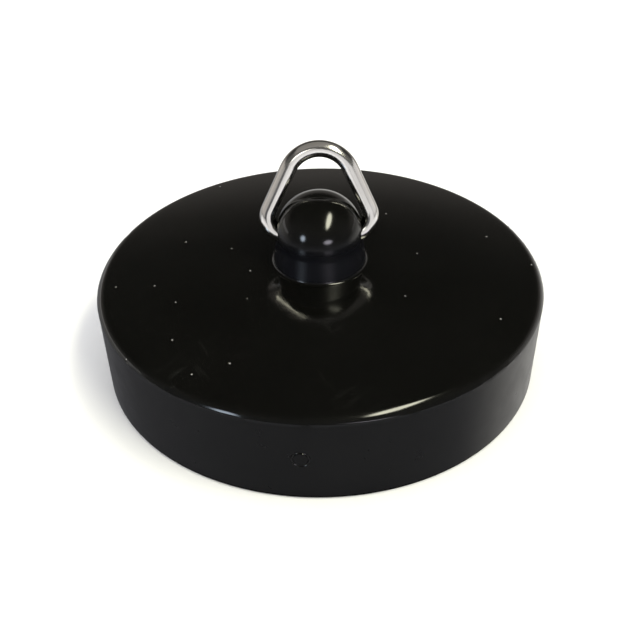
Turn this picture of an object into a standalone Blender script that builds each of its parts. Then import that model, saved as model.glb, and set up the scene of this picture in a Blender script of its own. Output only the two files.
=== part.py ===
"""Basin plug: a moulded stopper with a knob, and a pull ring that swings in the knob.

Metres, +Z up.  The origin is the middle of the stopper's open bottom, where it stands.
The ring's hinge lies along X, through the cross hole of the knob.
"""

import math

import bmesh
import bpy
from mathutils import Matrix

MM = 0.001

# Stopper: the outside
TOP_RADIUS = 22.75 * MM
BOTTOM_RADIUS = 22.40 * MM
RIM_HEIGHT = 10.00 * MM         # where the crowned top would meet the side in a sharp corner
CROWN = 1.80 * MM               # rise of the top from the rim to the middle
RIM_ROUND = 1.20 * MM
RIM_ROUND_END = 20.0            # degrees left to upright where the round stops at the parting line
FOOT_ROUND = 0.40 * MM          # outer edge of the bottom

# Stopper: the hollow underneath
WALL = 2.30 * MM
TOP_THICKNESS = 2.40 * MM
WALL_DRAFT = 0.15 * MM          # how much the hollow narrows towards its roof
ROOF_ROUND = 0.80 * MM
HUB_RADIUS = 5.50 * MM
HUB_BOTTOM = RIM_HEIGHT - 4.60 * MM
CORE_RADIUS = 1.70 * MM         # blind hole up the middle of the hub
CORE_TOP = RIM_HEIGHT + 0.60 * MM
RIB_COUNT = 6
RIB_THICKNESS = 1.20 * MM
RIB_BOTTOM = RIM_HEIGHT - 4.10 * MM
RIB_TOP = RIM_HEIGHT - 0.30 * MM
RIB_START = 3.20 * MM
RIB_END = 20.80 * MM

# Knob
KNOB_RADIUS = 4.46 * MM
KNOB_CENTRE = RIM_HEIGHT + CROWN + 3.00 * MM
KNOB_FLARE_TOP = KNOB_CENTRE - 0.60 * MM
KNOB_FOOT_RADIUS = 4.66 * MM
KNOB_FILLET = 0.35 * MM
HOLE_RADIUS = 1.15 * MM
MOUTH_RADIUS = 1.75 * MM        # the cross hole flares out towards both its mouths
MOUTH_START = 3.60 * MM
MOUTH_END = 4.20 * MM
HOLE_REACH = 5.20 * MM          # the drill's half length

# Pull ring, in its own plane: X across, Z up from the hinge
WIRE_RADIUS = 0.85 * MM
RING_HALF_WIDTH = 5.15 * MM     # middle of the wire, at the ring's widest
CORNER_RADIUS = 1.75 * MM       # bend of the wire's middle at the two lower corners
ARCH_RADIUS = 3.38 * MM
ARCH_HEIGHT = 5.19 * MM         # centre of the arch above the hinge
ARCH_OFFSET = 0.06 * MM         # the arch is bent slightly to one side
END_GAP = 0.70 * MM             # between the wire's two ends, inside the knob
RING_LEAN = math.radians(18.0)  # backwards, from upright

TURN_STEPS = 64
HOLE_STEPS = 24
MERGE = 0.000005


def clear_scene():
    for thing in list(bpy.data.objects):
        bpy.data.objects.remove(thing, do_unlink=True)


def new_collection(name):
    group = bpy.data.collections.new(name)
    bpy.context.scene.collection.children.link(group)
    return group


def material(name, colour, roughness, metallic):
    finish = bpy.data.materials.new(name)
    finish.use_nodes = True
    shader = finish.node_tree.nodes["Principled BSDF"]
    shader.inputs["Base Color"].default_value = (*colour, 1.0)
    shader.inputs["Roughness"].default_value = roughness
    shader.inputs["Metallic"].default_value = metallic
    return finish


def arc(centre, radius, start, end, steps):
    """Points on an arc, from angle start to angle end in degrees, both included."""
    points = []
    for step in range(steps + 1):
        angle = math.radians(start + (end - start) * step / steps)
        points.append((centre[0] + radius * math.cos(angle), centre[1] + radius * math.sin(angle)))
    return points


def crown_height(radius):
    """Height of the crowned top at a distance from the axis."""
    return RIM_HEIGHT + CROWN * (1.0 - (radius / TOP_RADIUS) ** 2)


def crown_slope(radius):
    """Fall of the crowned top at a distance from the axis, in degrees."""
    return math.degrees(math.atan(2.0 * CROWN * radius / TOP_RADIUS ** 2))


def crown_run(start, end, steps, drop=0.0):
    """Points along the crowned top, or along a surface a constant drop below it."""
    points = []
    for step in range(steps + 1):
        radius = start + (end - start) * step / steps
        points.append((radius, crown_height(radius) - drop))
    return points


def knob_outline():
    """From the top of the knob down to where its fillet meets the crowned top."""
    foot_end = KNOB_FOOT_RADIUS + KNOB_FILLET
    fillet_centre = (foot_end, crown_height(foot_end) + KNOB_FILLET)
    flare = math.degrees(math.asin((KNOB_CENTRE - KNOB_FLARE_TOP) / KNOB_RADIUS))
    dome = arc((0.0, KNOB_CENTRE), KNOB_RADIUS, 90.0, -flare, 11)
    fillet = arc(fillet_centre, KNOB_FILLET, 180.0, 270.0, 3)
    return dome + fillet


def rim_outline():
    """Around the rim to the parting line, down the tapered side and around the bottom edge."""
    taper = math.degrees(math.atan((TOP_RADIUS - BOTTOM_RADIUS) / RIM_HEIGHT))
    round_radius = TOP_RADIUS - RIM_ROUND * math.cos(math.radians(RIM_ROUND_END))
    touch = round_radius + RIM_ROUND * math.sin(math.radians(crown_slope(TOP_RADIUS)))
    fall = crown_slope(touch)
    round_height = crown_height(touch) - RIM_ROUND * math.cos(math.radians(fall))
    rim = arc((round_radius, round_height), RIM_ROUND, 90.0 - fall, RIM_ROUND_END, 4)
    foot = arc((BOTTOM_RADIUS - FOOT_ROUND, FOOT_ROUND), FOOT_ROUND, -taper, -90.0, 3)
    return rim + foot


def hollow_outline():
    """Inside the skirt, along the roof of the hollow, and around the hub to the axis."""
    inside = BOTTOM_RADIUS - WALL
    roof_edge = inside - WALL_DRAFT
    corner = roof_edge - ROOF_ROUND
    roof_height = crown_height(corner) - TOP_THICKNESS
    wall = [(inside, 0.0)]
    bend = arc((corner, roof_height - ROOF_ROUND), ROOF_ROUND, 0.0, 90.0, 3)
    roof = crown_run(corner, HUB_RADIUS, 4, TOP_THICKNESS)[1:]
    hub = [(HUB_RADIUS, HUB_BOTTOM), (CORE_RADIUS, HUB_BOTTOM), (CORE_RADIUS, CORE_TOP), (0.0, CORE_TOP)]
    return wall + bend + roof + hub


def stopper_outline():
    knob = knob_outline()
    rim = rim_outline()
    top = crown_run(knob[-1][0], rim[0][0], 6)[1:-1]
    return knob + top + rim + hollow_outline()


def turned(name, outline, steps, group):
    """A profile in the XZ plane, turned about Z by a Screw modifier."""
    mesh = bpy.data.meshes.new(name)
    edges = [(index, index + 1) for index in range(len(outline) - 1)]
    mesh.from_pydata([(radius, 0.0, height) for radius, height in outline], edges, [])
    piece = bpy.data.objects.new(name, mesh)
    group.objects.link(piece)
    screw = piece.modifiers.new("turn", "SCREW")
    screw.axis = "Z"
    screw.steps = steps
    screw.render_steps = steps
    screw.use_merge_vertices = True
    screw.merge_threshold = MERGE
    return piece


def guide(piece):
    piece.hide_render = True
    piece.display_type = "WIRE"
    return piece


def cut_or_join(piece, tool, operation):
    change = piece.modifiers.new(tool.name, "BOOLEAN")
    change.operation = operation
    change.solver = "EXACT"
    change.object = tool


def rib_bars(group):
    """The radial stiffening ribs under the top, as separate bars of one object."""
    length = RIB_END - RIB_START
    shape = bmesh.new()
    for index in range(RIB_COUNT):
        made = bmesh.ops.create_cube(shape, size=1.0)
        bmesh.ops.scale(shape, vec=(length, RIB_THICKNESS, RIB_TOP - RIB_BOTTOM), verts=made["verts"])
        middle = (RIB_START + length / 2.0, 0.0, (RIB_TOP + RIB_BOTTOM) / 2.0)
        bmesh.ops.translate(shape, vec=middle, verts=made["verts"])
        turn = Matrix.Rotation(math.tau * (index + 0.5) / RIB_COUNT, 3, "Z")
        bmesh.ops.rotate(shape, cent=(0.0, 0.0, 0.0), matrix=turn, verts=made["verts"])
    mesh = bpy.data.meshes.new("rib_bars")
    shape.to_mesh(mesh)
    shape.free()
    piece = bpy.data.objects.new("rib_bars", mesh)
    group.objects.link(piece)
    return guide(piece)


def cross_drill(group):
    """The cutter of the ring's cross hole: a bar turned about X, wider at its two ends."""
    half = [(MOUTH_RADIUS, HOLE_REACH), (MOUTH_RADIUS, MOUTH_END), (HOLE_RADIUS, MOUTH_START)]
    outline = [(0.0, HOLE_REACH)] + half
    outline += [(radius, -along) for radius, along in reversed(outline)]
    piece = turned("cross_drill", outline, HOLE_STEPS, group)
    piece.location = (0.0, 0.0, KNOB_CENTRE)
    piece.rotation_euler = (0.0, math.pi / 2.0, 0.0)
    return guide(piece)


def leg_lean(across):
    """Lean of a leg, from upright, that touches the arch and a lower corner, in degrees."""
    drop = ARCH_HEIGHT - CORNER_RADIUS
    between = math.atan2(across, drop)
    ease = math.asin((ARCH_RADIUS - CORNER_RADIUS) / math.hypot(across, drop))
    return math.degrees(between - ease)


def ring_path():
    """The middle line of the wire, from one end in the knob to the other."""
    corner = RING_HALF_WIDTH - CORNER_RADIUS
    right_lean = leg_lean(corner - ARCH_OFFSET)
    left_lean = leg_lean(corner + ARCH_OFFSET)
    right = arc((corner, CORNER_RADIUS), CORNER_RADIUS, -90.0, right_lean, 8)
    arch = arc((ARCH_OFFSET, ARCH_HEIGHT), ARCH_RADIUS, right_lean, 180.0 - left_lean, 12)
    left = arc((-corner, CORNER_RADIUS), CORNER_RADIUS, 180.0 - left_lean, 270.0, 8)
    return [(END_GAP / 2.0, 0.0)] + right + arch + left + [(-END_GAP / 2.0, 0.0)]


def stopper(group, tools, finish):
    piece = turned("plug_body", stopper_outline(), TURN_STEPS, group)
    cut_or_join(piece, rib_bars(tools), "UNION")
    cut_or_join(piece, cross_drill(tools), "DIFFERENCE")
    piece.data.materials.append(finish)
    return piece


def pull_ring(group, finish):
    """The bent wire, with its origin on the hinge."""
    path = ring_path()
    curve = bpy.data.curves.new("pull_ring", "CURVE")
    curve.dimensions = "3D"
    curve.bevel_depth = WIRE_RADIUS
    curve.bevel_resolution = 4
    curve.use_fill_caps = True
    spline = curve.splines.new("POLY")
    spline.points.add(len(path) - 1)
    for point, (across, up) in zip(spline.points, path):
        point.co = (across, 0.0, up, 1.0)
    curve.materials.append(finish)
    piece = bpy.data.objects.new("pull_ring", curve)
    piece.location = (0.0, 0.0, KNOB_CENTRE)
    piece.rotation_euler = (-RING_LEAN, 0.0, 0.0)
    group.objects.link(piece)
    return piece


def main():
    clear_scene()
    group = new_collection("basin_plug")
    tools = new_collection("cutters")
    black = material("black_plastic", (0.012, 0.012, 0.013), 0.12, 0.0)
    steel = material("polished_steel", (0.62, 0.61, 0.60), 0.12, 1.0)
    stopper(group, tools, black)
    pull_ring(group, steel)


main()
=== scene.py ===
"""Looks of the sink plug: a glossy black moulding with a polished wire ring in its knob."""

import math

import bmesh
import bpy
from mathutils import Matrix, Vector, noise


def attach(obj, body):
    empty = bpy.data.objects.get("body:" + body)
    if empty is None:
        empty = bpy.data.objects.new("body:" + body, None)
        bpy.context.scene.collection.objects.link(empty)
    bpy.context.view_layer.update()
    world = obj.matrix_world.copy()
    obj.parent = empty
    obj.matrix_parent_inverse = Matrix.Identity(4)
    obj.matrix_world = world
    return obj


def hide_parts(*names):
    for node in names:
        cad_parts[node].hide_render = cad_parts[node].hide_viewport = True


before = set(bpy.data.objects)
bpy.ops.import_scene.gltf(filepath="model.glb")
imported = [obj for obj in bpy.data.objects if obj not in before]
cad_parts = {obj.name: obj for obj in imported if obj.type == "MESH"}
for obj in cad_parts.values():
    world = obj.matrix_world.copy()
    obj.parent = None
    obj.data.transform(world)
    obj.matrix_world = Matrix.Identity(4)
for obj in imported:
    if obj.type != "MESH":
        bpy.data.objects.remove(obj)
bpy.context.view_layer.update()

MM = 0.001

# Stopper, outside.  The body is a hair smaller than the outline, to leave room for its flash.
FLASH = 0.03 * MM
TOP_RADIUS = 22.75 * MM - FLASH
BOTTOM_RADIUS = 22.40 * MM - FLASH
RIM_HEIGHT = 10.00 * MM
CROWN = 1.80 * MM
RIM_ROUND = 1.20 * MM
RIM_ROUND_END = 20.0            # degrees above level, where the round stops at the parting line
FOOT_ROUND = 0.40 * MM

# Stopper, hollow underneath
WALL = 2.30 * MM - FLASH
TOP_THICKNESS = 2.40 * MM
WALL_DRAFT = 0.15 * MM
ROOF_ROUND = 0.80 * MM
HUB_RADIUS = 5.50 * MM
HUB_BOTTOM = RIM_HEIGHT - 4.60 * MM
CORE_RADIUS = 1.70 * MM
CORE_TOP = RIM_HEIGHT + 0.60 * MM
EDGE_ROUND = 0.25 * MM
RIB_COUNT = 6
RIB_THICKNESS = 1.20 * MM
RIB_BOTTOM = RIM_HEIGHT - 4.10 * MM
RIB_TOP = RIM_HEIGHT - 0.30 * MM
RIB_START = 3.20 * MM
RIB_END = 20.80 * MM
RIB_ROUND = 0.20 * MM
PIN_MARK_COUNT = 3
PIN_MARK_RADIUS = 1.25 * MM
PIN_MARK_PLACE = 13.0 * MM
PIN_MARK_DEPTH = 0.12 * MM
PIN_LENGTH = 1.00 * MM

# Wear and flash on the rim, whose mould halves part at PARTING
PARTING = RIM_HEIGHT - 0.63 * MM
FLASH_WIDTH = 0.07 * MM
FLASH_FINENESS = 26.0
BURR = 0.16 * MM
BURR_TURN = math.radians(27.0)
BURR_SPREAD = math.radians(14.0)
BURR_FINENESS = 61.0
NICKS = (                       # place around the rim in degrees, height, width, depth
    (-66.8, RIM_HEIGHT - 0.50 * MM, 0.26 * MM, 0.06 * MM),
    (-69.6, RIM_HEIGHT - 0.48 * MM, 0.22 * MM, 0.05 * MM),
    (-48.0, RIM_HEIGHT - 0.50 * MM, 0.32 * MM, 0.09 * MM),
    (-127.0, RIM_HEIGHT - 0.40 * MM, 0.30 * MM, 0.07 * MM),
    (158.0, RIM_HEIGHT - 0.50 * MM, 0.45 * MM, 0.10 * MM),
    (74.0, RIM_HEIGHT - 0.35 * MM, 0.35 * MM, 0.08 * MM),
)

# Gate witness on the front of the skirt
WITNESS_TURN = math.radians(-95.1)
WITNESS_HEIGHT = 5.10 * MM
WITNESS_RADIUS = 0.80 * MM
WITNESS_GROOVE = 0.15 * MM

# Knob
KNOB_RADIUS = 4.46 * MM
KNOB_CENTRE = RIM_HEIGHT + CROWN + 3.00 * MM
KNOB_FLARE_TOP = KNOB_CENTRE - 0.60 * MM
KNOB_FOOT_RADIUS = 4.66 * MM
KNOB_FILLET = 0.35 * MM
HOLE_RADIUS = 1.15 * MM
MOUTH_RADIUS = 1.75 * MM
MOUTH_START = 3.60 * MM
MOUTH_END = 4.20 * MM
MOUTH_EASE = 0.12 * MM          # the mouth starts this much wider than the hole
MOUTH_EASE_LENGTH = 0.30 * MM
HOLE_REACH = 5.20 * MM

# Pull ring, in its own plane: X across, Z up from the hinge
WIRE_RADIUS = 0.83 * MM
RING_HALF_WIDTH = 5.15 * MM
CORNER_RADIUS = 1.75 * MM
ARCH_RADIUS = 3.38 * MM
ARCH_HEIGHT = 5.19 * MM
ARCH_OFFSET = 0.06 * MM
END_GAP = 0.70 * MM
RING_LEAN = math.radians(18.0)
WIRE_MAP_LENGTH = 40.0 * MM     # length of wire that its texture map covers

# Mesh fineness
TURN_STEPS = 320
DRILL_STEPS = 64
WIRE_SIDES = 40
MERGE = 0.000002
SHARP_ANGLE = math.radians(38.0)

# The moulding's finishes, in the order of its materials, and the shine of the skirt and of the bottom edge
POLISHED, SATIN, HOLLOW, FOOT = range(4)
SKIRT_SHINE = 0.45
# painted shade: the bottom edge's shine is cut almost to nothing, so that it reads as the contact shadow
# along it
PAINTED_SHADE_FOOT_SHINE = 0.02

# Studio
FLOOR_SIZE = 6.0
BACKDROP_REACH = 2.0
BACKDROP_BEND = 0.9
BACKDROP_HEIGHT = 3.0
FLOOR_CLEARANCE = 0.3 * MM      # of the card that lies on the floor
BACKDROP_CLEARANCE = 1.0 * MM
CARD_DISTANCE = 1.0
TOP_CARD_HEIGHT = 1.3
CEILING_HEIGHT = 1.6
TABLE_GLOW = 0.90               # brightness of the table behind on the right, as the plug mirrors it
COOL = (0.98, 0.98, 1.04)
PLAIN = (1.0, 0.98, 0.93)
WARM = (1.04, 0.97, 0.90)
ROOM_IN_FRONT = (               # sine of the elevation, brightness and tint, from straight down to up
    (-1.0, 0.02, PLAIN), (-0.80, 0.06, COOL), (-0.66, 0.34, COOL), (-0.40, 0.42, COOL),
    (-0.15, 0.20, COOL), (0.0, 0.11, COOL), (0.26, 0.11, COOL), (0.50, 0.12, PLAIN),
    (0.75, 0.07, PLAIN), (1.0, 0.03, PLAIN),
)
ROOM_BEHIND = (
    (-1.0, 0.02, PLAIN), (-0.80, 0.06, COOL), (-0.60, 0.22, COOL), (-0.25, 0.38, COOL),
    (-0.12, 0.50, PLAIN), (-0.03, 0.50, PLAIN), (0.02, 0.22, WARM), (0.22, 0.235, WARM),
    (0.28, 0.17, WARM), (0.36, 0.08, WARM), (0.46, 0.038, PLAIN), (0.60, 0.025, PLAIN),
    (0.79, 0.030, PLAIN), (1.0, 0.03, PLAIN),
)

# Camera, placed from the middle of the rim's plane
CAMERA_ELEVATION = math.radians(34.0)
CAMERA_DISTANCE = 5.2 * (TOP_RADIUS + FLASH)
CAMERA_PITCH = math.radians(36.32)
CAMERA_YAW = math.radians(0.046)
CAMERA_ROLL = math.radians(-0.89)
CAMERA_LENS = 64.75
CAMERA_SENSOR = 36.0
CAMERA_CLIP = 5.0 * MM


# ---------------------------------------------------------------- outlines

def arc(centre, radius, start, end, steps):
    """Points on an arc, from angle start to angle end in degrees, both included."""
    points = []
    for step in range(steps + 1):
        angle = math.radians(start + (end - start) * step / steps)
        points.append((centre[0] + radius * math.cos(angle), centre[1] + radius * math.sin(angle)))
    return points


def run(start, end, steps):
    """Evenly spaced points on a straight line, both ends included."""
    points = []
    for step in range(steps + 1):
        points.append(tuple(a + (b - a) * step / steps for a, b in zip(start, end)))
    return points


def crown_height(radius):
    """Height of the domed top at a radius."""
    return RIM_HEIGHT + CROWN * (1.0 - (radius / TOP_RADIUS) ** 2)


def crown_slope(radius):
    """Fall of the domed top at a radius, in degrees."""
    return math.degrees(math.atan(2.0 * CROWN * radius / TOP_RADIUS ** 2))


def crown_run(start, end, steps, drop=0.0):
    """Points along the domed top, or at an even drop below it."""
    radii = [start + (end - start) * step / steps for step in range(steps + 1)]
    return [(radius, crown_height(radius) - drop) for radius in radii]


def outside_outline():
    """From the top of the knob, over the top and the rim, down to the bottom edge."""
    foot_end = KNOB_FOOT_RADIUS + KNOB_FILLET
    flare = math.degrees(math.asin((KNOB_CENTRE - KNOB_FLARE_TOP) / KNOB_RADIUS))
    dome = arc((0.0, KNOB_CENTRE), KNOB_RADIUS, 90.0, -flare, 40)
    fillet = arc((foot_end, crown_height(foot_end) + KNOB_FILLET), KNOB_FILLET, 180.0, 270.0, 8)
    side = run(dome[-1], fillet[0], 8)[1:-1]

    taper = math.degrees(math.atan((TOP_RADIUS - BOTTOM_RADIUS) / RIM_HEIGHT))
    round_radius = TOP_RADIUS - RIM_ROUND * math.cos(math.radians(RIM_ROUND_END))
    touch = round_radius + RIM_ROUND * math.sin(math.radians(crown_slope(TOP_RADIUS)))
    fall = crown_slope(touch)
    round_height = crown_height(touch) - RIM_ROUND * math.cos(math.radians(fall))
    rim = arc((round_radius, round_height), RIM_ROUND, 90.0 - fall, RIM_ROUND_END, 14)
    foot = arc((BOTTOM_RADIUS - FOOT_ROUND, FOOT_ROUND), FOOT_ROUND, -taper, -90.0, 8)
    top = crown_run(fillet[-1][0], rim[0][0], 30)[1:-1]
    skirt = run(rim[-1], foot[0], 24)[1:-1]
    return dome + side + fillet + top + rim + skirt + foot


def inside_outline():
    """From the bottom edge up inside the skirt, along the roof and around the hub to the axis."""
    inside = BOTTOM_RADIUS - WALL
    roof_edge = inside - WALL_DRAFT
    corner = roof_edge - ROOF_ROUND
    roof_height = crown_height(corner) - TOP_THICKNESS
    lip = arc((inside + EDGE_ROUND, EDGE_ROUND), EDGE_ROUND, 270.0, 180.0, 4)
    bend = arc((corner, roof_height - ROOF_ROUND), ROOF_ROUND, 0.0, 90.0, 8)
    roof = crown_run(corner, HUB_RADIUS, 12, TOP_THICKNESS)[1:]
    hub_edge = arc((HUB_RADIUS - EDGE_ROUND, HUB_BOTTOM + EDGE_ROUND), EDGE_ROUND, 0.0, -90.0, 4)
    core_edge = arc((CORE_RADIUS + EDGE_ROUND, HUB_BOTTOM + EDGE_ROUND), EDGE_ROUND, 270.0, 180.0, 4)
    core = [(CORE_RADIUS, CORE_TOP - 0.5 * CORE_RADIUS), (0.0, CORE_TOP)]
    return lip + bend + roof + hub_edge + core_edge + core


def leg_lean(across):
    """Lean of a leg, from upright, that touches the arch and a lower corner, in degrees."""
    drop = ARCH_HEIGHT - CORNER_RADIUS
    between = math.atan2(across, drop)
    ease = math.asin((ARCH_RADIUS - CORNER_RADIUS) / math.hypot(across, drop))
    return math.degrees(between - ease)


def ring_path():
    """The middle line of the wire, from one end in the knob to the other."""
    corner = RING_HALF_WIDTH - CORNER_RADIUS
    right_lean = leg_lean(corner - ARCH_OFFSET)
    left_lean = leg_lean(corner + ARCH_OFFSET)
    right = arc((corner, CORNER_RADIUS), CORNER_RADIUS, -90.0, right_lean, 20)
    arch = arc((ARCH_OFFSET, ARCH_HEIGHT), ARCH_RADIUS, right_lean, 180.0 - left_lean, 40)
    left = arc((-corner, CORNER_RADIUS), CORNER_RADIUS, 180.0 - left_lean, 270.0, 20)
    right_leg = run(right[-1], arch[0], 8)[1:-1]
    left_leg = run(arch[-1], left[0], 8)[1:-1]
    half_gap = END_GAP / 2.0
    return [(half_gap, 0.0)] + right + right_leg + arch + left_leg + left + [(-half_gap, 0.0)]


# ---------------------------------------------------------------- mesh helpers

def new_object(name, data):
    """An object for a mesh, light or camera, linked to the scene."""
    piece = bpy.data.objects.new(name, data)
    bpy.context.scene.collection.objects.link(piece)
    return piece


def turned(name, outline, steps):
    """A profile in the XZ plane, turned about Z, as a plain mesh object."""
    mesh = bpy.data.meshes.new(name)
    edges = [(index, index + 1) for index in range(len(outline) - 1)]
    mesh.from_pydata([(radius, 0.0, height) for radius, height in outline], edges, [])
    piece = new_object(name, mesh)
    screw = piece.modifiers.new("turn", "SCREW")
    screw.axis = "Z"
    screw.steps = steps
    screw.render_steps = steps
    screw.use_merge_vertices = True
    screw.merge_threshold = MERGE
    return piece


def baked(piece):
    """The same object with its modifiers worked into its mesh."""
    bpy.context.view_layer.update()
    evaluated = piece.evaluated_get(bpy.context.evaluated_depsgraph_get())
    mesh = bpy.data.meshes.new_from_object(evaluated)
    piece.modifiers.clear()
    piece.data = mesh
    return piece


def combine(piece, tool, operation):
    """Joins a tool to a piece or cuts it out, and removes the tool."""
    change = piece.modifiers.new(tool.name, "BOOLEAN")
    change.operation = operation
    change.solver = "EXACT"
    change.object = tool
    baked(piece)
    bpy.data.objects.remove(tool)


def rib_bars():
    """The radial ribs under the top, as separate round-edged bars of one object."""
    length = RIB_END - RIB_START
    shape = bmesh.new()
    for index in range(RIB_COUNT):
        made = bmesh.ops.create_cube(shape, size=1.0)["verts"]
        bmesh.ops.scale(shape, vec=(length, RIB_THICKNESS, RIB_TOP - RIB_BOTTOM), verts=made)
        middle = (RIB_START + length / 2.0, 0.0, (RIB_TOP + RIB_BOTTOM) / 2.0)
        bmesh.ops.translate(shape, vec=middle, verts=made)
        turn = Matrix.Rotation(math.tau * (index + 0.5) / RIB_COUNT, 3, "Z")
        bmesh.ops.rotate(shape, cent=(0.0, 0.0, 0.0), matrix=turn, verts=made)
    mesh = bpy.data.meshes.new("rib_bars")
    shape.to_mesh(mesh)
    shape.free()
    piece = new_object("rib_bars", mesh)
    rounding = piece.modifiers.new("round", "BEVEL")
    rounding.width = RIB_ROUND
    rounding.segments = 3
    return baked(piece)


def cross_drill():
    """The ring's cross hole: a bar turned about X, wider at its two ends."""
    mouth = [(MOUTH_RADIUS, HOLE_REACH), (MOUTH_RADIUS, MOUTH_END)]
    ease = [(HOLE_RADIUS + MOUTH_EASE, MOUTH_START), (HOLE_RADIUS, MOUTH_START - MOUTH_EASE_LENGTH)]
    half = [(0.0, HOLE_REACH)] + mouth + ease
    outline = half + [(radius, -along) for radius, along in reversed(half)]
    piece = turned("cross_drill", outline, DRILL_STEPS)
    piece.location = (0.0, 0.0, KNOB_CENTRE)
    piece.rotation_euler = (0.0, math.pi / 2.0, 0.0)
    return piece


def skirt_radius(height):
    """Radius of the tapered side at a height."""
    return BOTTOM_RADIUS + (TOP_RADIUS - BOTTOM_RADIUS) * height / RIM_HEIGHT


def witness_groove():
    """A small ring that is sunk into the front of the skirt."""
    bpy.ops.mesh.primitive_torus_add(major_segments=40, minor_segments=12,
                                     major_radius=WITNESS_RADIUS, minor_radius=WITNESS_GROOVE)
    piece = bpy.context.active_object
    out = skirt_radius(WITNESS_HEIGHT) + 0.3 * WITNESS_GROOVE
    piece.location = (out * math.cos(WITNESS_TURN), out * math.sin(WITNESS_TURN), WITNESS_HEIGHT)
    piece.rotation_euler = (0.0, math.pi / 2.0, WITNESS_TURN)
    return piece


def pin_marks():
    """Shallow round marks that the ejector pins leave in the roof of the hollow."""
    shape = bmesh.new()
    roof = crown_height(PIN_MARK_PLACE) - TOP_THICKNESS
    for index in range(PIN_MARK_COUNT):
        made = bmesh.ops.create_cone(shape, cap_ends=True, segments=32, depth=PIN_LENGTH,
                                     radius1=PIN_MARK_RADIUS, radius2=PIN_MARK_RADIUS)["verts"]
        turn = math.tau * index / PIN_MARK_COUNT
        place = (PIN_MARK_PLACE * math.cos(turn), PIN_MARK_PLACE * math.sin(turn),
                 roof + PIN_MARK_DEPTH - PIN_LENGTH / 2.0)
        bmesh.ops.translate(shape, vec=place, verts=made)
    mesh = bpy.data.meshes.new("pin_marks")
    shape.to_mesh(mesh)
    shape.free()
    return new_object("pin_marks", mesh)


# ---------------------------------------------------------------- materials

class Nodes:
    """A short way to write a material's node tree."""

    def __init__(self, name):
        self.material = bpy.data.materials.new(name)
        self.material.use_nodes = True
        self.tree = self.material.node_tree
        self.shader = self.tree.nodes["Principled BSDF"]
        self.place = self.add("ShaderNodeTexCoord").outputs["Object"]

    def add(self, kind, inputs=None, **settings):
        """A node with its settings, and its inputs fed with sockets or values."""
        node = self.tree.nodes.new(kind)
        for key, value in settings.items():
            setattr(node, key, value)
        for key, value in (inputs or {}).items():
            self.feed(node.inputs[key], value)
        return node

    def feed(self, socket, value):
        if isinstance(value, bpy.types.NodeSocket):
            self.tree.links.new(value, socket)
        else:
            socket.default_value = value

    def noise(self, scale, detail=3.0, roughness=0.5, vector=None):
        inputs = {"Vector": vector or self.place, "Scale": scale, "Detail": detail, "Roughness": roughness}
        return self.add("ShaderNodeTexNoise", inputs).outputs["Fac"]

    def math(self, operation, first, second=0.0):
        return self.add("ShaderNodeMath", {0: first, 1: second}, operation=operation).outputs[0]

    def spread(self, value, low, high, to_low, to_high):
        """A value brought from one range to another, and held within it."""
        inputs = {"Value": value, "From Min": low, "From Max": high, "To Min": to_low, "To Max": to_high}
        return self.add("ShaderNodeMapRange", inputs).outputs["Result"]

    def height(self):
        return self.add("ShaderNodeSeparateXYZ", {"Vector": self.place}).outputs["Z"]

    def mixed(self, share, first, second):
        """A colour mix; the first colour may be a socket."""
        if not isinstance(first, bpy.types.NodeSocket):
            first = (*first, 1.0)
        inputs = {0: share, 6: first, 7: (*second, 1.0)}
        return self.add("ShaderNodeMix", inputs, data_type="RGBA").outputs[2]

    def bump(self, height, distance, strength=1.0, normal=None):
        inputs = {"Height": height, "Distance": distance, "Strength": strength}
        if normal is not None:
            inputs["Normal"] = normal
        return self.add("ShaderNodeBump", inputs).outputs["Normal"]

    def finish(self, **inputs):
        """Feeds the shader's inputs, whose names have _ for a space, and returns the material."""
        for key, value in inputs.items():
            self.feed(self.shader.inputs[key.replace("_", " ")], value)
        return self.material


def specks(nodes, scale, size, share):
    """A mask of tiny dots: a share of the Voronoi cells each hold one dot of the given size."""
    cells = nodes.add("ShaderNodeTexVoronoi", {"Vector": nodes.place, "Scale": scale})
    near = nodes.math("LESS_THAN", cells.outputs["Distance"], size * scale)
    chosen = nodes.add("ShaderNodeSeparateColor", {"Color": cells.outputs["Color"]}).outputs["Red"]
    kept = nodes.math("LESS_THAN", chosen, share)
    return nodes.math("MULTIPLY", near, kept)


def streaks(nodes, turn, scale, low, high):
    """A mask of faint straight streaks that run one way across the top."""
    turned_place = nodes.add("ShaderNodeVectorRotate", {"Vector": nodes.place, "Angle": turn},
                             rotation_type="Z_AXIS").outputs["Vector"]
    stretch = (scale, 0.09 * scale, scale)
    laid = nodes.add("ShaderNodeMapping", {"Vector": turned_place, "Scale": stretch})
    lines = nodes.noise(1.0, 2.0, 0.5, laid.outputs["Vector"])
    patches = nodes.spread(nodes.noise(120.0, 2.0), 0.54, 0.66, 0.0, 1.0)
    return nodes.math("MULTIPLY", nodes.spread(lines, low, high, 0.0, 1.0), patches)


def shank_haze_and_sheen_mask(nodes):
    """1 on the knob's shank, which is rougher than its dome and carries a painted bluish sheen in its
    colour, and 0 on the dome and the top.
    """
    crest = RIM_HEIGHT + CROWN
    below_dome = nodes.spread(nodes.height(), KNOB_CENTRE - 0.3 * MM, KNOB_CENTRE + 1.4 * MM, 1.0, 0.0)
    above_top = nodes.spread(nodes.height(), crest, crest + 0.4 * MM, 0.0, 1.0)
    return nodes.math("MULTIPLY", below_dome, above_top)


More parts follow.
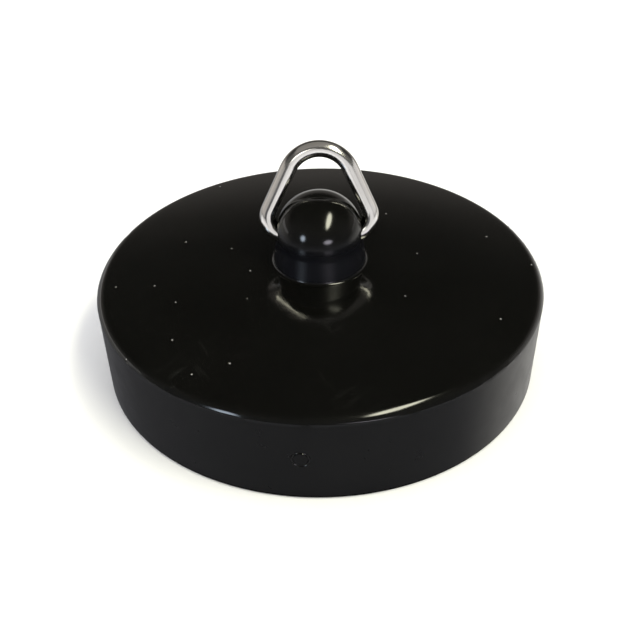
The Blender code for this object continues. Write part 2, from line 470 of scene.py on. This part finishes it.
def polished_plastic():
    """The top and the knob: black plastic from a polished mould, with dust, faint scuffs and a painted
    bluish sheen on the knob's shank.
    """
    nodes = Nodes("polished_black_plastic")
    scuffs = nodes.math("MAXIMUM", streaks(nodes, 0.85, 1200.0, 0.62, 0.76),
                        streaks(nodes, -0.45, 1700.0, 0.64, 0.78))
    shank = shank_haze_and_sheen_mask(nodes)
    dust = specks(nodes, 420.0, 0.085 * MM, 0.55)

    cloud = nodes.noise(110.0, 4.0, 0.55)
    colour = nodes.mixed(cloud, (0.0014, 0.0014, 0.0011), (0.0034, 0.0033, 0.0027))
    colour = nodes.mixed(nodes.math("MULTIPLY", scuffs, 0.3), colour, (0.016, 0.016, 0.014))
    # painted reflection: the shank's colour is lifted and tinted blue to stand in for the cool sheen it
    # mirrors
    colour = nodes.mixed(shank, colour, (0.0034, 0.0036, 0.0054))
    colour = nodes.mixed(dust, colour, (0.34, 0.33, 0.31))

    smear = nodes.noise(260.0, 5.0, 0.65)
    rough = nodes.spread(smear, 0.35, 0.75, 0.085, 0.15)
    for mask, added in ((dust, 0.5), (shank, 0.21), (scuffs, 0.10)):
        rough = nodes.math("ADD", rough, nodes.math("MULTIPLY", mask, added))
    swell = nodes.bump(nodes.noise(95.0, 1.0), 0.10 * MM, 0.30)
    grain = nodes.bump(nodes.noise(1900.0, 2.0), 0.002 * MM, 0.25, swell)
    return nodes.finish(Base_Color=colour, Roughness=rough, Normal=grain)


def satin_plastic(name, shine):
    """The skirt and its bottom edge: the same plastic from a mould half that isn't polished. The bottom
    edge's copy gets a shine so low that it is painted shade, standing in for the contact shadow.
    """
    nodes = Nodes(name)
    cloud = nodes.noise(140.0, 4.0, 0.6)
    colour = nodes.mixed(cloud, (0.0020, 0.0020, 0.0021), (0.0050, 0.0049, 0.0048))
    dust = specks(nodes, 520.0, 0.04 * MM, 0.05)
    colour = nodes.mixed(dust, colour, (0.05, 0.05, 0.05))
    rough = nodes.spread(nodes.noise(420.0, 4.0, 0.6), 0.3, 0.7, 0.27, 0.35)
    grain = nodes.bump(nodes.noise(4200.0, 3.0), 0.003 * MM, 0.30)
    wave = nodes.bump(nodes.noise(160.0, 2.0), 0.05 * MM, 0.20, grain)
    return nodes.finish(Base_Color=colour, Roughness=rough, Specular_IOR_Level=shine, Normal=wave)


def raw_plastic():
    """The hollow underside: dull black plastic with a moulded grain."""
    nodes = Nodes("dull_black_plastic")
    cloud = nodes.noise(180.0, 5.0, 0.6)
    colour = nodes.mixed(cloud, (0.0105, 0.0105, 0.0108), (0.0180, 0.0176, 0.0172))
    rough = nodes.spread(nodes.noise(600.0, 4.0, 0.6), 0.3, 0.7, 0.38, 0.52)
    grain = nodes.bump(nodes.noise(3000.0, 4.0), 0.008 * MM, 0.4)
    return nodes.finish(Base_Color=colour, Roughness=rough, Normal=grain)


def polished_steel():
    """The wire: bright drawn steel with fine lines along it and a few dull spots."""
    nodes = Nodes("polished_steel_wire")
    wire_place = nodes.add("ShaderNodeTexCoord").outputs["UV"]
    stretched = nodes.add("ShaderNodeMapping", {"Vector": wire_place, "Scale": (3.0, 34.0, 1.0)})
    lines = nodes.noise(3.0, 4.0, 0.6, stretched.outputs["Vector"])
    cloud = nodes.noise(500.0, 3.0, 0.5)
    colour = nodes.mixed(cloud, (0.64, 0.625, 0.595), (0.78, 0.77, 0.755))
    spots = specks(nodes, 1500.0, 0.05 * MM, 0.08)
    colour = nodes.mixed(spots, colour, (0.35, 0.33, 0.30))
    rough = nodes.spread(lines, 0.3, 0.7, 0.10, 0.20)
    wave = nodes.bump(nodes.noise(520.0, 2.0), 0.012 * MM, 0.4)
    drawn = nodes.bump(lines, 0.006 * MM, 0.6, wave)
    return nodes.finish(Base_Color=colour, Roughness=rough, Metallic=1.0, Normal=drawn)


def pale_floor():
    """A plain matt studio floor."""
    nodes = Nodes("pale_floor")
    cloud = nodes.noise(6.0, 3.0, 0.5)
    colour = nodes.mixed(cloud, (0.90, 0.90, 0.905), (0.92, 0.92, 0.925))
    return nodes.finish(Base_Color=colour, Roughness=0.9)


# ---------------------------------------------------------------- the plug

def angle_apart(first, second):
    """The angle between two directions around the axis, from 0 to pi."""
    return abs((first - second + math.pi) % math.tau - math.pi)


def add_flash(mesh):
    """Draws ragged flash out of the rim at the parting line, with burrs on one stretch of it."""
    for vertex in mesh.vertices:
        radius = math.hypot(vertex.co.x, vertex.co.y)
        if radius < TOP_RADIUS - 0.3 * RIM_ROUND or vertex.co.z < PARTING - 1.0 * MM:
            continue
        turn = math.atan2(vertex.co.y, vertex.co.x)
        around = Vector((math.cos(turn), math.sin(turn), 0.3))
        ragged = 0.5 + 1.4 * noise.noise(around * FLASH_FINENESS)
        line = math.exp(-((vertex.co.z - PARTING) / FLASH_WIDTH) ** 2)
        lift = FLASH * line * (0.45 + 0.55 * max(0.0, min(1.0, ragged)))
        reach = math.exp(-(angle_apart(turn, BURR_TURN) / BURR_SPREAD) ** 4)
        lift += BURR * line * reach * max(0.0, 0.25 + 1.6 * noise.noise(around * BURR_FINENESS))
        vertex.co.x += lift * vertex.co.x / radius
        vertex.co.y += lift * vertex.co.y / radius


def add_nicks(mesh):
    """Small dents knocked into the edge of the rim."""
    for vertex in mesh.vertices:
        radius = math.hypot(vertex.co.x, vertex.co.y)
        if radius < TOP_RADIUS - RIM_ROUND or vertex.co.z < RIM_HEIGHT - 2.0 * RIM_ROUND:
            continue
        turn = math.atan2(vertex.co.y, vertex.co.x)
        for place, height, width, depth in NICKS:
            across = TOP_RADIUS * angle_apart(turn, math.radians(place)) / width
            along = (vertex.co.z - height) / (0.7 * width)
            push = depth * math.exp(-across ** 2 - along ** 2)
            vertex.co.x -= push * vertex.co.x / radius
            vertex.co.y -= push * vertex.co.y / radius
            vertex.co.z -= 0.5 * push


def shade(mesh):
    """Smooth shading, with a sharp edge where the surface turns hard."""
    mesh.shade_smooth()
    mesh.set_sharp_from_angle(angle=SHARP_ANGLE)


def finish_of(middle):
    """The finish of a face, by its middle."""
    radius = math.hypot(middle.x, middle.y)
    if radius < BOTTOM_RADIUS - WALL / 2.0:
        return HOLLOW if middle.z < crown_height(radius) - 0.4 * TOP_THICKNESS else POLISHED
    # the bottom edge gets the copy with painted shade, for the contact shadow
    if middle.z < FOOT_ROUND:
        return FOOT
    in_groove = radius < skirt_radius(middle.z) - 0.02 * MM
    return POLISHED if middle.z > PARTING or in_groove else SATIN


def make_plug():
    """The moulding: turned, ribbed and drilled, then marked and given its finishes."""
    piece = baked(turned("plug_moulding", outside_outline() + inside_outline(), TURN_STEPS))
    combine(piece, rib_bars(), "UNION")
    combine(piece, cross_drill(), "DIFFERENCE")
    combine(piece, pin_marks(), "DIFFERENCE")
    combine(piece, witness_groove(), "DIFFERENCE")
    mesh = piece.data
    add_flash(mesh)
    add_nicks(mesh)
    finishes = {
        POLISHED: polished_plastic(),
        SATIN: satin_plastic("satin_black_plastic", SKIRT_SHINE),
        HOLLOW: raw_plastic(),
        # painted shade: a copy of the satin plastic with its shine cut, for the contact shadow along the
        # bottom edge
        FOOT: satin_plastic("painted_shade_foot_plastic", PAINTED_SHADE_FOOT_SHINE),
    }
    mesh.materials.clear()
    for finish in sorted(finishes):
        mesh.materials.append(finishes[finish])
    for face in mesh.polygons:
        face.material_index = finish_of(face.center)
    shade(mesh)
    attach(piece, "plug")
    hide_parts("plug_body")
    return piece


# ---------------------------------------------------------------- the ring

def make_ring():
    """A round wire swept along the ring's path, leaning back on its hinge."""
    path = [Vector((across, 0.0, up)) for across, up in ring_path()]
    side = Vector((0.0, 1.0, 0.0))
    shape = bmesh.new()
    wire_map = shape.loops.layers.uv.new("wire")
    hoops = []
    lengths = [0.0]
    for index, point in enumerate(path):
        ahead = path[min(index + 1, len(path) - 1)]
        behind = path[max(index - 1, 0)]
        along = (ahead - behind).normalized()
        out = side.cross(along)
        if index:
            lengths.append(lengths[-1] + (point - behind).length)
        hoop = []
        for step in range(WIRE_SIDES):
            turn = math.tau * step / WIRE_SIDES
            off = math.cos(turn) * out + math.sin(turn) * side
            hoop.append(shape.verts.new(point + WIRE_RADIUS * off))
        hoops.append(hoop)
    for index in range(len(hoops) - 1):
        for step in range(WIRE_SIDES):
            after = (step + 1) % WIRE_SIDES
            face = shape.faces.new((hoops[index][step], hoops[index + 1][step],
                                    hoops[index + 1][after], hoops[index][after]))
            corners = ((index, step), (index + 1, step), (index + 1, step + 1), (index, step + 1))
            for loop, (row, column) in zip(face.loops, corners):
                loop[wire_map].uv = (lengths[row] / WIRE_MAP_LENGTH, column / WIRE_SIDES)
    shape.faces.new(hoops[0])
    shape.faces.new(list(reversed(hoops[-1])))
    bmesh.ops.recalc_face_normals(shape, faces=shape.faces)
    mesh = bpy.data.meshes.new("pull_ring_wire")
    shape.to_mesh(mesh)
    shape.free()
    mesh.transform(Matrix.Translation((0.0, 0.0, KNOB_CENTRE)) @ Matrix.Rotation(-RING_LEAN, 4, "X"))
    mesh.materials.append(polished_steel())
    shade(mesh)
    piece = new_object("pull_ring_wire", mesh)
    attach(piece, "ring")
    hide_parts("pull_ring")
    return piece


# ---------------------------------------------------------------- studio

def facing(place, target, along):
    """The pose of a light at a place that faces a target, with its height along a direction."""
    back = (Vector(place) - Vector(target)).normalized()
    side = Vector(along).cross(back).normalized()
    turn = Matrix((side, back.cross(side), back)).transposed().to_4x4()
    return Matrix.Translation(place) @ turn


def fade(light, core):
    """Makes a light fade out towards its edge from a core, given as a share of its size."""
    light.use_nodes = True
    tree = light.node_tree
    place = tree.nodes.new("ShaderNodeNewGeometry").outputs["Parametric"]
    centred = tree.nodes.new("ShaderNodeVectorMath")
    centred.operation = "DISTANCE"
    centred.inputs[1].default_value = (0.5, 0.5, 0.0)
    tree.links.new(place, centred.inputs[0])
    ease = tree.nodes.new("ShaderNodeMapRange")
    ease.interpolation_type = "SMOOTHSTEP"
    ease.inputs["From Min"].default_value = 0.5 * core
    ease.inputs["From Max"].default_value = 0.5
    ease.inputs["To Min"].default_value = 1.0
    ease.inputs["To Max"].default_value = 0.0
    tree.links.new(centred.outputs["Value"], ease.inputs["Value"])
    tree.links.new(ease.outputs["Result"], tree.nodes["Emission"].inputs["Strength"])


def panel(name, place, target, size, radiance, colour, along=(0.0, 0.0, 1.0), core=None, only=None):
    """A light of a size and radiance that faces a target.

    Its height lies along a direction, core makes it a faded ellipse, and only names the one
    piece that it lights.
    """
    light = bpy.data.lights.new(name, "AREA")
    light.shape = "RECTANGLE" if core is None else "ELLIPSE"
    light.size, light.size_y = size
    area = size[0] * size[1] * (1.0 if core is None else math.pi / 4.0)
    light.energy = radiance * math.pi * area
    light.color = colour
    if core is not None:
        fade(light, core)
    piece = new_object(name, light)
    piece.matrix_world = facing(place, target, along)
    piece.visible_camera = False
    if only is not None:
        lit = bpy.data.collections.new(name + "_lights")
        lit.objects.link(only)
        piece.light_linking.receiver_collection = lit
    return piece


def around_knob(azimuth, elevation):
    """A place around the knob, in degrees from the front towards +X and degrees up from level."""
    turn = math.radians(azimuth)
    rise = math.radians(elevation)
    out = Vector((math.sin(turn) * math.cos(rise), -math.cos(turn) * math.cos(rise), math.sin(rise)))
    return Vector((0.0, 0.0, KNOB_CENTRE)) + CARD_DISTANCE * out


def room_ramp(tree, height, stops):
    """Room brightness by height, the sine of the elevation brought from -1..1 to 0..1."""
    ramp = tree.nodes.new("ShaderNodeValToRGB")
    tree.links.new(height, ramp.inputs["Fac"])
    while len(ramp.color_ramp.elements) < len(stops):
        ramp.color_ramp.elements.new(0.5)
    for element, (place, level, tint) in zip(ramp.color_ramp.elements, stops):
        element.position = 0.5 + 0.5 * place
        element.color = (*(level * part for part in tint), 1.0)
    return ramp.outputs["Color"]


def eased(tree, value, low, high):
    """A smooth step from 0 at low to 1 at high."""
    step = tree.nodes.new("ShaderNodeMapRange")
    step.interpolation_type = "SMOOTHSTEP"
    step.inputs["From Min"].default_value = low
    step.inputs["From Max"].default_value = high
    tree.links.new(value, step.inputs["Value"])
    return step.outputs["Result"]


def make_room():
    """The dim room around the table: brighter low down, and most so behind on the right."""
    world = bpy.data.worlds.new("room")
    world.use_nodes = True
    tree = world.node_tree
    place = tree.nodes.new("ShaderNodeTexCoord")
    split = tree.nodes.new("ShaderNodeSeparateXYZ")
    tree.links.new(place.outputs["Generated"], split.inputs["Vector"])
    height = tree.nodes.new("ShaderNodeMapRange")
    height.inputs["From Min"].default_value = -1.0
    tree.links.new(split.outputs["Z"], height.inputs["Value"])
    front = room_ramp(tree, height.outputs["Result"], ROOM_IN_FRONT)
    rear = room_ramp(tree, height.outputs["Result"], ROOM_BEHIND)
    around = tree.nodes.new("ShaderNodeMix")
    around.data_type = "RGBA"
    tree.links.new(eased(tree, split.outputs["Y"], -0.35, 0.35), around.inputs[0])
    tree.links.new(front, around.inputs[6])
    tree.links.new(rear, around.inputs[7])

    low = eased(tree, split.outputs["Z"], 0.0, -0.25)
    to_right_rear = tree.nodes.new("ShaderNodeMath")
    tree.links.new(split.outputs["X"], to_right_rear.inputs[0])
    tree.links.new(split.outputs["Y"], to_right_rear.inputs[1])
    right_rear = eased(tree, to_right_rear.outputs[0], 0.55, 1.20)
    glow = tree.nodes.new("ShaderNodeMath")
    glow.operation = "MULTIPLY"
    tree.links.new(low, glow.inputs[0])
    tree.links.new(right_rear, glow.inputs[1])
    lit = tree.nodes.new("ShaderNodeMix")
    lit.data_type = "RGBA"
    lit.inputs[7].default_value = (*(TABLE_GLOW * part for part in PLAIN), 1.0)
    tree.links.new(glow.outputs[0], lit.inputs[0])
    tree.links.new(around.outputs[2], lit.inputs[6])
    tree.links.new(lit.outputs[2], tree.nodes["Background"].inputs["Color"])
    bpy.context.scene.world = world


def light_plug(plug, knob):
    """Two windows, and low cards that draw the edge of the rim."""
    panel("left_window", around_knob(-44.0, 12.0), knob, (0.30, 0.34), 10.0, (0.74, 0.86, 1.0),
          core=0.3, only=plug)
    panel("front_window", around_knob(21.2, 7.5), knob, (0.52, 0.26), 6.0, (0.97, 0.92, 1.04),
          core=0.3, only=plug)
    for name, azimuth, radiance in (("left_low_card", -120.0, 0.8), ("right_low_card", 125.0, 0.3)):
        panel(name, around_knob(azimuth, 3.0), knob, (1.20, 0.10), radiance, (1.0, 0.99, 0.98), only=plug)


def light_ring(ring, knob):
    """White cards around, under and above the wire ring."""
    panel("front_card", around_knob(14.0, 10.0), knob, (0.92, 0.36), 0.82, (1.0, 0.98, 0.97), only=ring)
    panel("left_card", around_knob(-80.0, 14.0), knob, (1.50, 0.36), 0.42, (1.0, 0.94, 0.87), only=ring)
    panel("right_card", around_knob(80.0, 14.0), knob, (1.50, 0.36), 0.72, (1.0, 0.97, 0.95), only=ring)
    panel("table_card", (0.0, -1.3, FLOOR_CLEARANCE), (0.0, -1.3, 1.0), (5.0, 2.6), 0.88,
          (1.0, 0.98, 0.96), along=(0.0, 1.0, 0.0), only=ring)
    panel("arch_card", around_knob(-15.0, 26.0), knob, (0.34, 0.30), 3.2, (1.0, 0.98, 0.92),
          core=0.5, only=ring)
    panel("top_card", (0.0, 0.0, TOP_CARD_HEIGHT), knob, (2.2, 2.2), 0.24, (1.0, 0.95, 0.88),
          along=(0.0, 1.0, 0.0), only=ring)


def make_lights(plug, ring):
    """A ceiling strip for both pieces, their own lights, and a wide fill that isn't mirrored."""
    knob = (0.0, 0.0, KNOB_CENTRE)
    panel("ceiling_strip", (0.47, -0.44, 1.0), knob, (0.30, 1.20), 17.0, (1.0, 0.985, 0.78),
          along=(0.03, -1.0, 0.0), core=0.55)
    light_plug(plug, knob)
    light_ring(ring, knob)
    fill = panel("ceiling_fill", (0.0, 0.0, CEILING_HEIGHT), (0.0, 0.0, 0.0), (FLOOR_SIZE, FLOOR_SIZE),
                 0.95, (0.985, 0.99, 1.0), along=(0.0, 1.0, 0.0))
    fill.visible_glossy = False


def make_floor():
    """A plain floor and a round wall that it bends up into, neither mirrored by the pieces."""
    bpy.ops.mesh.primitive_plane_add(size=FLOOR_SIZE)
    floor = bpy.context.active_object
    floor.name = "floor"
    floor.data.materials.append(pale_floor())
    floor.visible_glossy = False

    bend_centre = (BACKDROP_REACH, BACKDROP_BEND + BACKDROP_CLEARANCE)
    bend = arc(bend_centre, BACKDROP_BEND, -90.0, 0.0, 24)
    outline = bend + [(BACKDROP_REACH + BACKDROP_BEND, BACKDROP_HEIGHT)]
    backdrop = baked(turned("backdrop", outline, 96))
    backdrop.data.materials.clear()
    backdrop.data.materials.append(floor.data.materials[0])
    backdrop.data.shade_smooth()
    backdrop.visible_glossy = False
    backdrop.visible_shadow = False


def make_camera():
    """The camera, above the front and a little turned and rolled."""
    data = bpy.data.cameras.new("camera")
    data.sensor_width = CAMERA_SENSOR
    data.lens = CAMERA_LENS
    data.clip_start = CAMERA_CLIP
    camera = new_object("camera", data)
    back = Vector((0.0, -math.cos(CAMERA_ELEVATION), math.sin(CAMERA_ELEVATION)))
    place = Vector((0.0, 0.0, RIM_HEIGHT)) + CAMERA_DISTANCE * back
    turn = Matrix.Rotation(CAMERA_YAW, 4, "Z") @ Matrix.Rotation(math.pi / 2.0 - CAMERA_PITCH, 4, "X")
    camera.matrix_world = Matrix.Translation(place) @ turn @ Matrix.Rotation(CAMERA_ROLL, 4, "Z")
    bpy.context.scene.camera = camera


plug = make_plug()
ring = make_ring()
make_floor()
make_room()
make_lights(plug, ring)
make_camera()
bpy.context.scene.view_settings.view_transform = "Standard"
